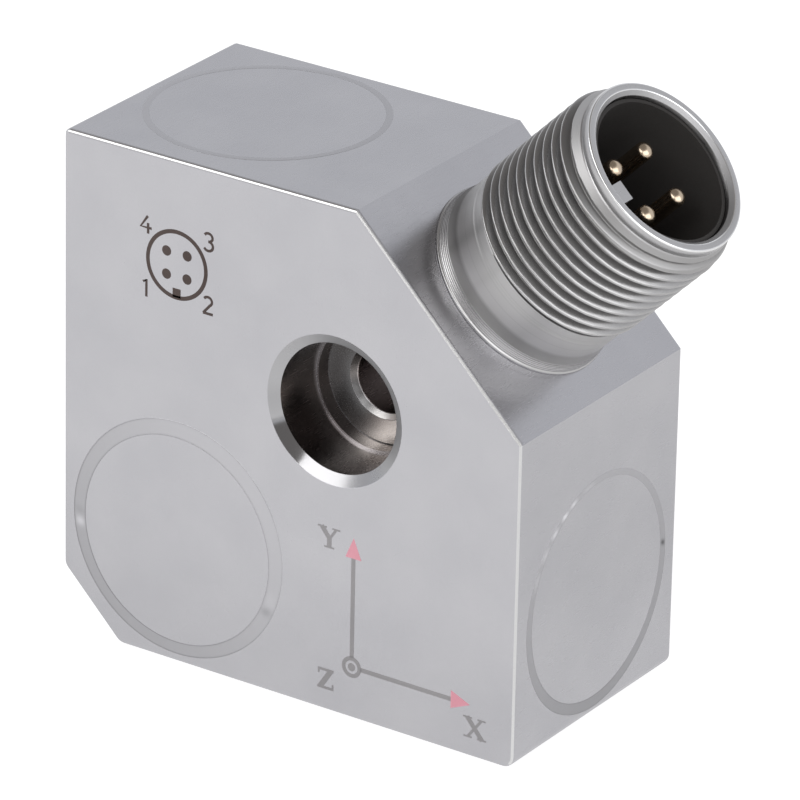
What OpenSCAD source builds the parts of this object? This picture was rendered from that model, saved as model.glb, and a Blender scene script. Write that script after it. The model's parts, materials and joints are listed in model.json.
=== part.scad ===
// Triaxial vibration sensor: a square steel block with a bolt hole through it, three
// round covers welded over the sensing pockets, and a threaded connector on a 45 degree face.
// The origin is on the bolt hole's axis at the mounting face. The front faces -Y, +X is right
// and +Z is up. Millimetres.

/* [Block] */
// Side of the square front face
block_side = 42; // [40:0.5:50]
// Thickness from the front face to the mounting face
block_depth = 22.3; // [21:0.1:28]
// Leg of the 45 degree face that carries the connector
connector_face_leg = 15.1; // [14:0.1:17]
// Leg of the small 45 degree face at the lower left
corner_face_leg = 5.3; // [2:0.1:7]
// Radius of the lower edges that run front to back
low_edge_radius = 1; // [0.4:0.1:1.6]
// Radius of the top left edge that runs front to back
top_edge_radius = 0.5; // [0.2:0.1:1]
// Radius along the front and back outlines
outline_radius = 0.3; // [0.1:0.05:0.6]

/* [Bolt hole] */
// Bolt hole axis from the left face and from the underside
hole_inset = 25.2; // [24:0.1:26]
// Diameter of the bolt hole
bolt_hole_d = 5.3; // [4.3:0.1:6.6]
// Diameter of the counterbore for the bolt head
counterbore_d = 10.6; // [9:0.1:11.4]
// Depth of the counterbore
counterbore_depth = 6.65; // [5:0.05:8]
// Height of the slightly narrower ring above the counterbore's floor
floor_ring_h = 1.35; // [0.5:0.05:2]
// How much narrower that ring is, each side
floor_ring_step = 0.2; // [0.05:0.05:0.4]
// Radial width of the chamfer at the counterbore's mouth
mouth_chamfer_w = 0.85; // [0.3:0.05:1.2]
// Depth of the chamfer at the counterbore's mouth
mouth_chamfer_depth = 0.55; // [0.3:0.05:1.2]
// Chamfer where the bolt hole meets the counterbore's floor
hole_chamfer = 0.45; // [0.2:0.05:0.8]

/* [Covers and pockets] */
// Cover centres from the left face or from the underside
cover_inset = 10.7; // [10.2:0.1:11.2]
// Centre of the top cover behind the front face
top_cover_setback = 11.8; // [11:0.1:12.4]
// Centre of the side cover behind the front face
side_cover_setback = 11.15; // [10.5:0.05:12]
// Diameter of each cover
cover_d = 18.6; // [17.5:0.1:19.4]
// Thickness of each cover
cover_t = 1.6; // [1:0.1:2.4]
// Radial gap between a cover and its seat, closed by the weld
cover_gap = 0.05; // [0.02:0.01:0.15]
// Radial width of the shoulder that a cover sits on
cover_shoulder = 0.7; // [0.4:0.1:1.2]
// Radial width of the ledge that a circuit board sits on
board_ledge = 1; // [0.6:0.1:1.4]
// Depth of each pocket from its outer face
pocket_depth = 17; // [15:0.5:19]

/* [Sensing elements] */
// Radial room round each element, where a lead can pass
lead_room = 1.6; // [1.2:0.1:2]
// Thickness of the insulating disc
insulator_t = 0.8; // [0.5:0.1:1.5]
// Thickness of the element's base
base_t = 1.5; // [1:0.1:2.5]
// Diameter of the element's centre post
post_d = 4.8; // [4:0.1:6]
// Wall of the piezo ring
piezo_wall = 1.6; // [1:0.1:2]
// Height of the seismic mass above the base
mass_lift = 0.8; // [0.4:0.1:1.5]
// How far the piezo ring is set back from each end of the mass
piezo_setback = 0.3; // [0:0.1:0.8]
// How far the post stands above the mass
post_proud = 0.6; // [0.2:0.1:1]
// Bond line between the bonded or sealed pieces
bond_gap = 0.02; // [0.01:0.01:0.05]

/* [Circuit boards and leads] */
// Thickness of each circuit board
board_t = 1; // [0.6:0.1:1.6]
// Radial clearance of a board in its chamber
board_gap = 0.1; // [0.05:0.05:0.3]
// Room between a board and its cover
board_room = 2.2; // [1.6:0.1:3]
// Room between a board and the post below it
wire_room = 2.9; // [2.7:0.1:3.5]
// Diameter of a lead
lead_d = 0.8; // [0.5:0.1:1]
// Diameter of the passages from the pockets to the connector
passage_d = 2.6; // [2.4:0.1:3]
// Metal left between a board's ledge and a passage
passage_rim = 0.7; // [0.4:0.1:1]
// Distance between the leads that share a passage
lead_spacing = 1.1; // [1.05:0.05:1.3]
// How far inside the rim of its element a lead starts
lead_inset = 1.1; // [0.8:0.1:1.4]
// How much further inside the front pocket's lead starts
front_lead_drop = 1.4; // [1:0.1:2]
// Height of the leads' last bend above the floor of the connector's cavity
lead_bend_h = 0.6; // [0.5:0.05:0.8]
// Height of the leads above that bend where they enter the cavity
lead_entry_h = 0.64; // [0.5:0.02:0.8]
// Diameter of the hole in the web between the front and the top pocket
web_hole_d = 1.4; // [1.2:0.1:1.5]
// Angle of that hole round the top pocket, from the front
web_hole_angle = 37; // [30:1:45]

/* [Connector] */
// Outside diameter of the thread
thread_d = 15.875; // [15:0.005:16.5]
// Thread pitch
thread_pitch = 1.058; // [0.9:0.002:1.2]
// Number of thread turns
thread_turns = 10; // [8:1:11]
// Height of the weld foot above the block
foot_h = 0.9; // [0.5:0.1:1.5]
// Diameter of the weld foot where it meets the block
foot_d = 16.2; // [16:0.1:18]
// How far the weld foot has drawn in at half its height
foot_draw = 0.15; // [0:0.05:0.3]
// Diameter of the neck
neck_d = 15.4; // [15:0.1:15.8]
// Height of the neck's end above the block
neck_end = 5.45; // [4:0.05:7]
// How far the lead-in chamfer takes down the last crest
last_crest_drop = 0.17; // [0:0.01:0.3]
// Diameter of the nose ring
nose_d = 14.4; // [13.8:0.1:14.5]
// Axial length of the nose ring
nose_l = 0.8; // [0.5:0.1:2]
// Chamfer on both edges of the rim
rim_chamfer = 0.12; // [0.05:0.01:0.2]
// Inside diameter of the socket
socket_d = 12.3; // [11.8:0.1:12.6]
// Outside diameter of the spigot that enters the block
spigot_d = 13.2; // [12.9:0.1:13.6]
// Length of the spigot
spigot_l = 2; // [1.5:0.1:2.5]
// Thickness of the lip that carries the insert
lip_t = 1; // [0.6:0.1:1.2]
// Radial width of that lip
lip_w = 0.95; // [0.6:0.05:1.4]
// Width of the polarising key
key_w = 1.6; // [1:0.1:2.4]
// How far the key stands in from the socket wall
key_h = 1.1; // [0.7:0.1:1.4]
// How far the key's end lies below the rim
key_setback = 0.25; // [0.1:0.05:1]
// Clearance round the key
key_gap = 0.05; // [0.02:0.01:0.2]
// Turn of the key and the contacts about the connector's axis
key_angle = -90; // [-100:1:-80]
// Depth of the cavity in the block below the connector
cavity_depth = 5; // [4.5:0.1:5.5]
// Radial gap between the spigot and the cavity
spigot_gap = 0.05; // [0.02:0.01:0.15]

/* [Insert and contacts] */
// Depth of the insert's face below the rim
insert_face_depth = 10.7; // [9:0.1:12]
// Depth of the insert's liner below the rim
liner_depth = 0.65; // [0.3:0.05:2]
// Wall of the insert's liner
liner_wall = 0.3; // [0.2:0.05:0.5]
// Diameter of the circle through the contacts
contact_circle_d = 5.87; // [5.4:0.01:6.4]
// Diameter of a contact pin
contact_d = 1.48; // [1.2:0.02:1.6]
// Depth of the contact tips below the rim
contact_depth = 1.9; // [1:0.05:4]
// Length of a contact's rounded tip
contact_tip_l = 0.35; // [0.3:0.05:1.4]
// Diameter of a contact's solder tail
tail_d = 0.9; // [0.7:0.1:1.1]
// Length of a contact's solder tail below the insert
tail_l = 2.2; // [1.8:0.1:2.5]

/* [Hidden] */
$fn = 64;

// How far a cutting shape runs past the face that it opens
cut = 1;
// Half the square root of two: the share of a slanted length along X and along Z
slant = sqrt(0.5);

// Finishes
steel = [0.73, 0.73, 0.74];
turned_steel = [0.66, 0.66, 0.67];
insert_black = [0.12, 0.11, 0.11];
gold = [0.83, 0.69, 0.36];
ceramic_white = [0.90, 0.89, 0.85];
piezo_tan = [0.78, 0.72, 0.58];
tungsten_grey = [0.38, 0.38, 0.40];
board_green = [0.13, 0.38, 0.22];
lead_white = [0.88, 0.88, 0.86];

// Pockets: radii, and depths below the outer face
cover_seat_r = cover_d / 2 + cover_gap;
board_chamber_r = cover_d / 2 - cover_shoulder;
element_chamber_r = board_chamber_r - board_ledge;
ledge_depth = cover_t + board_room + board_t;
element_r = element_chamber_r - lead_room;
piezo_inner_r = post_d / 2 + bond_gap;
piezo_outer_r = piezo_inner_r + piezo_wall;
mass_inner_r = piezo_outer_r + bond_gap;
post_top_depth = ledge_depth + wire_room;
mass_top_depth = post_top_depth + post_proud;
base_top_depth = pocket_depth - insulator_t - base_t;
mass_bottom_depth = base_top_depth - mass_lift;
top_cover_y = top_cover_setback - block_depth;
side_cover_y = side_cover_setback - block_depth;

// Chips on a circuit board: place on the board, width, length and height
chips = [
    [-4.2, -1.5, 5, 4, 1.2],
    [2.2, -3.6, 2.4, 1.6, 0.9],
    [2.4, 1.4, 1.8, 3.2, 0.8],
    [-2.6, 4.2, 3, 1.5, 0.6]
];

// Connector: heights above the 45 degree face, along its axis
thread_r = thread_d / 2;
// Depth of a unified thread's groove, as a share of its pitch
thread_depth_share = 0.6134;
thread_depth = thread_depth_share * thread_pitch;
thread_end = neck_end + thread_turns * thread_pitch;
lead_in_end = thread_end + thread_r - nose_d / 2 - last_crest_drop;
rim_t = lead_in_end + nose_l;
insert_face_t = rim_t - insert_face_depth;
insert_bottom_t = lip_t - spigot_l;
contact_tip_t = rim_t - contact_depth;
tail_end_t = insert_bottom_t - tail_l;
connector_y = -block_depth / 2;
connector_x = block_side - connector_face_leg / 2;

// Leads and passages
passage_depth = ledge_depth + passage_rim + passage_d / 2;
lead_track_r = element_chamber_r - lead_room / 2;
web_hole_x = cover_inset + lead_track_r * sin(web_hole_angle);
web_hole_y = top_cover_y - lead_track_r * cos(web_hole_angle);
passage_level = block_side - passage_depth;
lead_bend_t = lead_bend_h - cavity_depth;
passage_exit = 2 * connector_x - passage_level + (lead_bend_t + lead_entry_h) / slant;
lead_start = element_r - lead_inset;
// Number of flats round a lead, and a direction that none of the leads runs along
lead_sides = 10;
lead_reference = [0.48, 0.6, 0.64];

// Flats round a corner of the outline and across its edges, and the least radius left by an inset
arc_steps = 6;
fillet_steps = 4;
least_radius = 0.02;
// Outline of the block seen from the front: corners as [x, z] from the lower left one, with radii
outline_corners = [
    [[block_side, 0], low_edge_radius],
    [[block_side, block_side - connector_face_leg], 0],
    [[block_side - connector_face_leg, block_side], 0],
    [[0, block_side], top_edge_radius],
    [[0, corner_face_leg], low_edge_radius],
    [[corner_face_leg, 0], low_edge_radius]
];

function unit(v) = v / norm(v);

// Points of the arc that rounds the corner p between its neighbours a and b, drawn in by inset
function corner_arc(a, p, b, r, inset) =
    let (to_a = unit(a - p), to_b = unit(b - p), half = acos(to_a * to_b) / 2)
    let (inner = p + unit(to_a + to_b) * inset / sin(half))
    r == 0 ? [inner] :
    let (inner_r = max(r - inset, least_radius))
    let (centre = inner + unit(to_a + to_b) * inner_r / sin(half))
    let (first = inner + to_a * inner_r / tan(half) - centre)
    let (start = atan2(first[1], first[0]), step = (180 - 2 * half) / arc_steps)
    [for (i = [0 : arc_steps]) centre + inner_r * [cos(start + step * i), sin(start + step * i)]];

// The outline through all its corners, drawn in by inset
function rounded_outline(corners, inset) =
    let (n = len(corners))
    [for (i = [0 : n - 1])
        let (before = corners[(i + n - 1) % n], here = corners[i], after = corners[(i + 1) % n])
        each corner_arc(before[0], here[0], after[0], here[1], inset)];

// A point of the connector: height t, and radius r at angle a about its axis
function on_connector(t, r, a) =
    [connector_x, connector_y, connector_x] + t * [slant, 0, slant]
    + r * (cos(a) * [slant, 0, -slant] + sin(a) * [0, 1, 0]);

function contact_angle(i) = key_angle + 45 + 90 * (i - 1);

// Places. Block sizes are measured from its lower left corner and from the mounting face
module from_corner() translate([-hole_inset, 0, -hole_inset]) children();
module z_pocket()
    from_corner() translate([cover_inset, -block_depth, cover_inset]) rotate([90, 0, 0]) children();
module y_pocket()
    from_corner() translate([cover_inset, top_cover_y, block_side]) children();
module x_pocket()
    from_corner() translate([block_side, side_cover_y, cover_inset]) rotate([0, 90, 0]) children();
module on_connector_face()
    from_corner() translate([connector_x, connector_y, connector_x]) rotate([0, 45, 0]) children();

// The block before machining: layers of the outline, drawn in at the front and back edges
module block_blank() {
    turns = [for (i = [0 : fillet_steps]) 90 * i / fillet_steps];
    insets = [for (a = turns) outline_radius * (1 - sin(a))];
    depths = [for (a = turns) outline_radius * (1 - cos(a))];
    front = [for (i = [0 : fillet_steps]) outline_ring(insets[i], depths[i] - block_depth)];
    back = [for (i = [fillet_steps : -1 : 0]) outline_ring(insets[i], -depths[i])];
    skin(concat(front, back));
}

// The outline drawn in by inset, as points at the depth y
function outline_ring(inset, y) = [for (p = rounded_outline(outline_corners, inset)) [p[0], y, p[1]]];

// A solid with flat ends through rings of equally many points
module skin(rings) {
    n = len(rings[0]);
    walls = [
        for (i = [0 : len(rings) - 2], k = [0 : n - 1])
            [i * n + k, (i + 1) * n + k, (i + 1) * n + (k + 1) % n, i * n + (k + 1) % n]
    ];
    first = [for (k = [0 : n - 1]) k];
    last = [for (k = [n - 1 : -1 : 0]) (len(rings) - 1) * n + k];
    polyhedron(points = [for (r = rings) each r], faces = concat(walls, [first, last]));
}

module bolt_hole_cut() {
    bolt_r = bolt_hole_d / 2;
    bore_r = counterbore_d / 2;
    ring_r = bore_r - floor_ring_step;
    translate([hole_inset, -block_depth, hole_inset])
        rotate([90, 0, 0])
            rotate_extrude()
                polygon([
                    [0, cut],
                    [bore_r + mouth_chamfer_w, cut],
                    [bore_r + mouth_chamfer_w, 0],
                    [bore_r, -mouth_chamfer_depth],
                    [bore_r, floor_ring_h - counterbore_depth],
                    [ring_r, floor_ring_h - counterbore_depth],
                    [ring_r, -counterbore_depth],
                    [bolt_r + hole_chamfer, -counterbore_depth],
                    [bolt_r, -counterbore_depth - hole_chamfer],
                    [bolt_r, -block_depth - cut],
                    [0, -block_depth - cut]
                ]);
}

module pocket_cut() {
    translate([0, 0, -cover_t])
        cylinder(r = cover_seat_r, h = cover_t + cut);
    translate([0, 0, -ledge_depth])
        cylinder(r = board_chamber_r, h = ledge_depth);
    translate([0, 0, -pocket_depth])
        cylinder(r = element_chamber_r, h = pocket_depth);
}

module passage_cuts() {
    translate([cover_inset, connector_y, passage_level])
        rotate([0, 90, 0])
            cylinder(d = passage_d, h = passage_exit - cover_inset);
    translate([passage_level, connector_y, cover_inset])
        cylinder(d = passage_d, h = passage_exit - cover_inset);
    translate([web_hole_x, web_hole_y, cover_inset])
        cylinder(d = web_hole_d, h = block_side - pocket_depth - cover_inset + cut);
}

module housing_block() color(steel) difference() {
    from_corner() block_blank();
    from_corner() bolt_hole_cut();
    z_pocket() pocket_cut();
    y_pocket() pocket_cut();
    x_pocket() pocket_cut();
    on_connector_face()
        translate([0, 0, -cavity_depth])
            cylinder(d = spigot_d + 2 * spigot_gap, h = cavity_depth + cut);
    from_corner() passage_cuts();
}

module cover() color(steel) translate([0, 0, -cover_t]) cylinder(d = cover_d, h = cover_t);
module z_cover() z_pocket() cover();
module y_cover() y_pocket() cover();
module x_cover() x_pocket() cover();

// Turned body of the connector: spigot, weld foot, neck, thread grooves, lead-in and nose ring
function shell_section() =
    let (crest = thread_pitch / 16, root = thread_pitch / 8, root_r = thread_r - thread_depth)
    let (nose_r = nose_d / 2, socket_r = socket_d / 2, last_r = thread_r - last_crest_drop)
    [
        [socket_r - lip_w, -spigot_l],
        [spigot_d / 2, -spigot_l],
        [spigot_d / 2, 0],
        [foot_d / 2, 0],
        [foot_d / 2 - foot_draw, foot_h / 2],
        [neck_d / 2, foot_h],
        [neck_d / 2, neck_end],
        for (i = [0 : thread_turns - 1])
            let (low_r = i == 0 ? neck_d / 2 : thread_r)
            let (high_r = i == thread_turns - 1 ? last_r : thread_r)
            each thread_groove(neck_end + i * thread_pitch, crest, root, root_r, low_r, high_r),
        [last_r, thread_end],
        [nose_r, lead_in_end],
        [nose_r, rim_t - rim_chamfer],
        [nose_r - rim_chamfer, rim_t],
        [socket_r + rim_chamfer, rim_t],
        [socket_r, rim_t - rim_chamfer],
        [socket_r, insert_bottom_t],
        [socket_r - lip_w, insert_bottom_t]
    ];

// One V groove from the crest at height t to the next, with crest radii low_r and high_r
function thread_groove(t, crest, root, root_r, low_r, high_r) = [
    [low_r, t + crest],
    [root_r, t + thread_pitch / 2 - root],
    [root_r, t + thread_pitch / 2 + root],
    [high_r, t + thread_pitch - crest]
];

module connector_shell() color(turned_steel) on_connector_face() {
    wall_overlap = (nose_d - socket_d) / 4;
    rotate_extrude() polygon(shell_section());
    rotate([0, 0, key_angle])
        translate([socket_d / 2 - key_h, -key_w / 2, insert_face_t])
            cube([key_h + wall_overlap, key_w, rim_t - key_setback - insert_face_t]);
}

module connector_insert() color(insert_black) on_connector_face() {
    outer_r = socket_d / 2 - bond_gap;
    inner_r = outer_r - liner_wall;
    liner_t = rim_t - liner_depth;
    pin_hole_h = insert_face_t - insert_bottom_t + 2 * cut;
    difference() {
        translate([0, 0, insert_bottom_t])
            cylinder(r = outer_r, h = liner_t - insert_bottom_t);
        translate([0, 0, insert_face_t])
            cylinder(r = inner_r, h = liner_t - insert_face_t + cut);
        rotate([0, 0, key_angle])
            translate([socket_d / 2 - key_h, -key_w / 2, insert_face_t] - key_gap * [1, 1, 1])
                cube([key_h + cut, key_w + 2 * key_gap, liner_t - insert_face_t + cut]);
        for (i = [1 : 4])
            rotate([0, 0, contact_angle(i)])
                translate([contact_circle_d / 2, 0, insert_bottom_t - cut])
                    cylinder(d = contact_d + 2 * bond_gap, h = pin_hole_h);
    }
}

// A turned contact: solder tail, shank and a rounded tip
module contact_pin(i) {
    r = contact_d / 2;
    tip_t = contact_tip_t - contact_tip_l;
    tip_steps = 8;
    section = [
        [0, tail_end_t],
        [tail_d / 2, tail_end_t],
        [tail_d / 2, insert_bottom_t],
        [r, insert_bottom_t],
        for (k = [0 : tip_steps - 1])
            [r * cos(90 * k / tip_steps), tip_t + contact_tip_l * sin(90 * k / tip_steps)],
        [0, contact_tip_t]
    ];
    color(gold)
        on_connector_face()
            rotate([0, 0, contact_angle(i)])
                translate([contact_circle_d / 2, 0, 0])
                    rotate_extrude()
                        polygon(section);
}

module contact_pin_1() contact_pin(1);
module contact_pin_2() contact_pin(2);
module contact_pin_3() contact_pin(3);
module contact_pin_4() contact_pin(4);

module insulator()
    color(ceramic_white) translate([0, 0, -pocket_depth]) cylinder(r = element_r, h = insulator_t);
module z_insulator() z_pocket() insulator();
module y_insulator() y_pocket() insulator();
module x_insulator() x_pocket() insulator();

module element_post() color(turned_steel) {
    translate([0, 0, -base_top_depth - base_t])
        cylinder(r = element_r, h = base_t);
    translate([0, 0, -base_top_depth])
        cylinder(d = post_d, h = base_top_depth - post_top_depth);
}
module z_element_post() z_pocket() element_post();
module y_element_post() y_pocket() element_post();
module x_element_post() x_pocket() element_post();

// A ring between two radii and two depths below the outer face
module ring(inner_r, outer_r, bottom, top)
    translate([0, 0, -bottom])
        rotate_extrude()
            translate([inner_r, 0])
                square([outer_r - inner_r, bottom - top]);

module piezo_ring() {
    bottom = mass_bottom_depth - piezo_setback;
    top = mass_top_depth + piezo_setback;
    color(piezo_tan) ring(piezo_inner_r, piezo_outer_r, bottom, top);
}
module z_piezo_ring() z_pocket() piezo_ring();
module y_piezo_ring() y_pocket() piezo_ring();
module x_piezo_ring() x_pocket() piezo_ring();

module seismic_mass()
    color(tungsten_grey) ring(mass_inner_r, element_r, mass_bottom_depth, mass_top_depth);
module z_seismic_mass() z_pocket() seismic_mass();
module y_seismic_mass() y_pocket() seismic_mass();
module x_seismic_mass() x_pocket() seismic_mass();

module amplifier_board() color(board_green) {
    translate([0, 0, -ledge_depth])
        cylinder(r = board_chamber_r - board_gap, h = board_t);
    for (chip = chips)
        translate([chip[0], chip[1], board_t / 2 - ledge_depth])
            cube([chip[2], chip[3], board_t / 2 + chip[4]]);
}
module z_amplifier_board() z_pocket() amplifier_board();
module y_amplifier_board() y_pocket() amplifier_board();
module x_amplifier_board() x_pocket() amplifier_board();

// Where a tube's side line at the given offset meets the mitre plane between two directions
function mitre_point(offset, before, after) =
    let (normal = unit(before + after))
    offset - before * (offset * normal) / (before * normal);

// Offsets of the side lines beyond a bend, square to the new direction
function turned_offsets(offsets, before, after) =
    [for (offset = offsets) let (q = mitre_point(offset, before, after)) q - after * (q * after)];

// Rings of points where a tube's side lines meet each bend, from point i on
function tube_rings(points, offsets, i) =
    let (n = len(points))
    let (before = unit(points[max(i, 1)] - points[max(i, 1) - 1]))
    let (after = unit(points[min(i, n - 2) + 1] - points[min(i, n - 2)]))
    let (ring_here = [for (offset = offsets) points[i] + mitre_point(offset, before, after)])
    let (turned = turned_offsets(offsets, before, after))
    i == n - 1 ? [ring_here] : concat([ring_here], tube_rings(points, turned, i + 1));

// A lead along a list of points, with mitred bends
module lead(points) {
    along = unit(points[1] - points[0]);
    across = unit(cross(along, lead_reference));
    up = cross(along, across);
    offsets = [
        for (k = [0 : lead_sides - 1])
            let (a = 360 * k / lead_sides)
            lead_d / 2 * (cos(a) * across + sin(a) * up)
    ];
    color(lead_white) from_corner() skin(tube_rings(points, offsets, 0));
}

// The last bend of a lead below contact i, and the end of that contact's tail
function contact_end(i) = [
    on_connector(lead_bend_t, contact_circle_d / 2, contact_angle(i)),
    on_connector(tail_end_t, contact_circle_d / 2, contact_angle(i))
];

module z_lead() {
    y = connector_y - lead_spacing / 2;
    start_z = cover_inset + lead_start - front_lead_drop;
    lead(concat([
        [web_hole_x, ledge_depth - block_depth, start_z],
        [web_hole_x, web_hole_y, start_z],
        [web_hole_x, web_hole_y, passage_level],
        [cover_inset + element_r, y, passage_level],
        [passage_exit, y, passage_level]
    ], contact_end(4)));
}

module y_lead() {
    y = connector_y + lead_spacing / 2;
    lead(concat([
        [cover_inset + lead_start, y, block_side - ledge_depth],
        [cover_inset + lead_start, y, passage_level],
        [passage_exit, y, passage_level]
    ], contact_end(3)));
}

module x_lead() {
    y = connector_y + lead_spacing / 2;
    lead(concat([
        [block_side - ledge_depth, y, cover_inset + lead_start],
        [passage_level, y, cover_inset + lead_start],
        [passage_level, y, passage_exit]
    ], contact_end(2)));
}

module ground_link()
    lead([
        on_connector(-cavity_depth, contact_circle_d / 2, contact_angle(1)),
        on_connector(tail_end_t, contact_circle_d / 2, contact_angle(1))
    ]);

housing_block();
z_cover();
y_cover();
x_cover();
connector_shell();
connector_insert();
contact_pin_1();
contact_pin_2();
contact_pin_3();
contact_pin_4();
z_insulator();
y_insulator();
x_insulator();
z_element_post();
y_element_post();
x_element_post();
z_piezo_ring();
y_piezo_ring();
x_piezo_ring();
z_seismic_mass();
y_seismic_mass();
x_seismic_mass();
z_amplifier_board();
y_amplifier_board();
x_amplifier_board();
z_lead();
y_lead();
x_lead();
ground_link();
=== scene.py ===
import json

import bpy
import numpy as np
from mathutils import Matrix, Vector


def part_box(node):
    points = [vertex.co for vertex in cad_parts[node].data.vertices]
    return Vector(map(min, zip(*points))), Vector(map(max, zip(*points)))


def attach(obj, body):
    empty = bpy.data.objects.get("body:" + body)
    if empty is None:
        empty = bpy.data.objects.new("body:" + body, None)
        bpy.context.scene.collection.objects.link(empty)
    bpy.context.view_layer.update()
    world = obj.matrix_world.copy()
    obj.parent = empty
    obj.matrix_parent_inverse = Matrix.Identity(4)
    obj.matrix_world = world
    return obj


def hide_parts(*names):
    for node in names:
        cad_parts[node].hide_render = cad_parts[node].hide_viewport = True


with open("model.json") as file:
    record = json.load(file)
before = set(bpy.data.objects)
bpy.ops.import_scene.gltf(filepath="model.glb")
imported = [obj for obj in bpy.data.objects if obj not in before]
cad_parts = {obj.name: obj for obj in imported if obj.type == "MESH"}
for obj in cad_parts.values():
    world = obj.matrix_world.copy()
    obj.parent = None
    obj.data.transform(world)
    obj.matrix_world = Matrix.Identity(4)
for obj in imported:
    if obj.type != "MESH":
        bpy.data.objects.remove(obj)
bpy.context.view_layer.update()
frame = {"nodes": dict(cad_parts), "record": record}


# Housing block: one piece of stainless steel, milled square, then ground and blasted to a fine
# satin. The bolt hole through it is left as the boring tool cut it. The darkness of its walls and
# of the counterbore's is painted shade, with painted light at their lower right.
MM = 0.001
cad = frame["nodes"]
mounts = {mount["name"]: mount for mount in frame["record"]["mounts"]}
block_low, block_high = (np.array(corner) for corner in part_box("housing_block"))
bolt_r, bolt_length = (mounts["bolt_hole"]["dims"][size] * MM for size in ("r_mm", "length_mm"))
counterbore_r = mounts["bolt_head_counterbore"]["dims"]["r_mm"] * MM
bolt_edge_r, bolt_mouth = bolt_r + 0.03 * MM, -bolt_length - 0.05 * MM
bevel_r = bolt_r + 0.75 * MM
bevel_middle, bevel_half = -bolt_length - 0.24 * MM, 0.18 * MM
seat_r, corner_shadow_r = counterbore_r - 0.21 * MM, counterbore_r - 0.29 * MM
seat_depth, seat_half = -bolt_length - 0.45 * MM, 0.02 * MM
wall_middle_r, wall_half = counterbore_r - 0.1 * MM, 0.17 * MM
wall_foot, wall_top = seat_depth - 0.05 * MM, float(block_low[1]) + 0.58 * MM
step_depth, step_half = seat_depth - 1.35 * MM, 0.012 * MM
mouth_r = counterbore_r + 0.84 * MM
mouth_middle, mouth_half = 0.3 * MM, 0.28 * MM
clear_of_mouth_r = 1.1 * mouth_r
# The front rounds at the top and right get a painted highlight.
highlight_round_middle, highlight_round_half = 0.09 * MM, 0.072 * MM
# Painted light and shade in the holes: shaded and lit colours of the counterbore's wall, seat and bevel,
# the bolt hole's painted shade and a painted shadow line in the seat's corner.
shaded_bore_colour = (0.16, 0.14, 0.133)
lit_bore_colour = (0.85, 0.79, 0.75)
shaded_bolt_hole_colour = (0.32, 0.29, 0.285)
dark_seat_colour = (0.22, 0.218, 0.22)
lit_seat_colour = (0.58, 0.565, 0.555)
corner_shadow_colour = (0.05, 0.046, 0.044)
dark_bevel_colour = (0.2, 0.198, 0.2)
lit_bevel_colour = (0.95, 0.93, 0.915)
mouth_colour = (0.44, 0.438, 0.448)
edge_highlight_colour = (0.74, 0.74, 0.74)
# A span is the start, end, low and high of a fade.
lit_span = (0.25, 1.15, 0.0, 1.0)
lit_wall_span = (-22.5 * MM, -16.5 * MM, 0.25, 1.0)
mouth_gain, mouth_gain_slope, bevel_gain = 0.15, 0.65, 0.3
seat_lean, bevel_lean = 0.18, 0.25
satin_dark, satin_light = (0.515, 0.512, 0.536), (0.55, 0.546, 0.568)
shade_drift = 6 * MM


def start_finish(name, colour, metallic, roughness):
    """A Principled material with its constant values on the shader's own sockets."""
    finish = bpy.data.materials.new(name)
    finish.use_nodes = True
    shader = finish.node_tree.nodes["Principled BSDF"]
    shader.inputs["Base Color"].default_value = (*colour, 1)
    shader.inputs["Metallic"].default_value = metallic
    shader.inputs["Roughness"].default_value = roughness
    return finish, shader


def add_node(finish, kind, **values):
    """A node of the finish, with its named input sockets set (an underscore stands for a space)."""
    node = finish.node_tree.nodes.new(kind)
    for name, value in values.items():
        node.inputs[name.replace("_", " ")].default_value = value
    return node


def feed(finish, socket, value):
    """Links a socket to another node's output, or gives it a plain value."""
    if isinstance(value, bpy.types.NodeSocket):
        finish.node_tree.links.new(value, socket)
    else:
        socket.default_value = value


def noise(finish, grain, stretch=(1, 1, 1)):
    """Noise on Object coordinates with features about one grain wide, drawn out along an axis."""
    link = finish.node_tree.links.new
    place = add_node(finish, "ShaderNodeTexCoord")
    mapping = add_node(finish, "ShaderNodeMapping", Scale=stretch)
    texture = add_node(finish, "ShaderNodeTexNoise", Scale=1 / grain, Detail=3.0)
    link(place.outputs["Object"], mapping.inputs["Vector"])
    link(mapping.outputs["Vector"], texture.inputs["Vector"])
    return texture.outputs["Fac"]


def spread(finish, value, low, high):
    """The middle of a noise value, 0.3 to 0.7, spread evenly over low to high."""
    ranged = add_node(finish, "ShaderNodeMapRange", From_Min=0.3, From_Max=0.7, To_Min=low, To_Max=high)
    finish.node_tree.links.new(value, ranged.inputs["Value"])
    return ranged.outputs["Result"]


def blend_colours(finish, value, first, second):
    """A colour from first to second, each a colour or an output, as the value goes from 0 to 1."""
    mix = finish.node_tree.nodes.new("ShaderNodeMix")
    mix.data_type = "RGBA"
    finish.node_tree.links.new(value, mix.inputs["Factor"])
    for socket, colour in ((mix.inputs[6], first), (mix.inputs[7], second)):
        feed(finish, socket, (*colour, 1) if isinstance(colour, tuple) else colour)
    return mix.outputs[2]


def add_grain(finish, gloss, grain, depth, stretch=(1, 1, 1)):
    """A fine grain that spreads the roughness over the gloss pair and stands in relief by depth."""
    link = finish.node_tree.links.new
    shader = finish.node_tree.nodes["Principled BSDF"]
    fine = noise(finish, grain, stretch)
    link(spread(finish, fine, *gloss), shader.inputs["Roughness"])
    bump = add_node(finish, "ShaderNodeBump", Distance=depth)
    link(fine, bump.inputs["Height"])
    link(bump.outputs["Normal"], shader.inputs["Normal"])


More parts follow.
